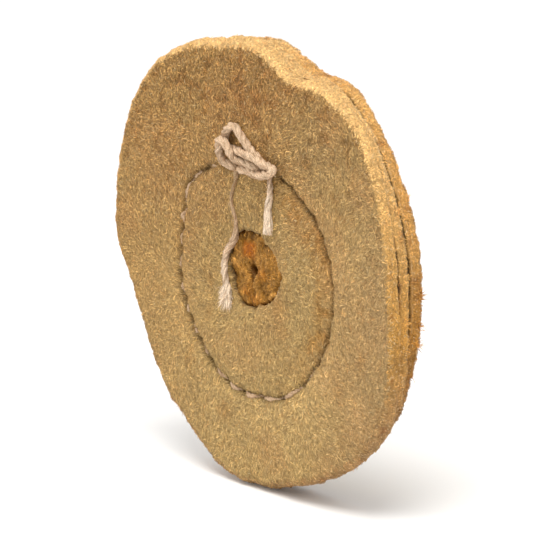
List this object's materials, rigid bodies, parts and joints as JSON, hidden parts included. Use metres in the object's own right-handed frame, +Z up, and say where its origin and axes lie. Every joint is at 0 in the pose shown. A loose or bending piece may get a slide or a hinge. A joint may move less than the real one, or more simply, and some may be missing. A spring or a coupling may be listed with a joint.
{
  "type": "stitched leather polishing wheel",
  "caption": "Hand-cut polishing wheel of stacked split-leather discs held by one oval seam, with a hardened hub, a spindle pinhole and knotted thread ends on the front face.",
  "frame": {"origin": "centre of the spindle pinhole, half way through the wheel's thickness", "axes": "+Y along the wheel's axle from the knotted front face to the back face, +Z up as the wheel stands with its knot at the top, +X to the right seen from the front"},
  "size_m": [0.1051, 0.0147, 0.1001],
  "materials": {
    "face_leather": "matted khaki-tan suede nap, very rough",
    "core_leather": "golden cut edge of split leather, fibrous and matt",
    "shellac_leather": "amber leather hardened with shellac, lumpy, satin to glossy",
    "cotton_twine": "off-white twisted cotton, matt, frayed at the ends"
  },
  "bodies": {
    "root": {"front_ply": "face_leather", "middle_ply": "core_leather", "back_ply": "core_leather", "hardened_hub": "shellac_leather", "seam_thread_front": "cotton_twine", "seam_thread_back": "cotton_twine", "twine_end_short": "cotton_twine", "twine_end_long": "cotton_twine"}
  },
  "joints": []
}
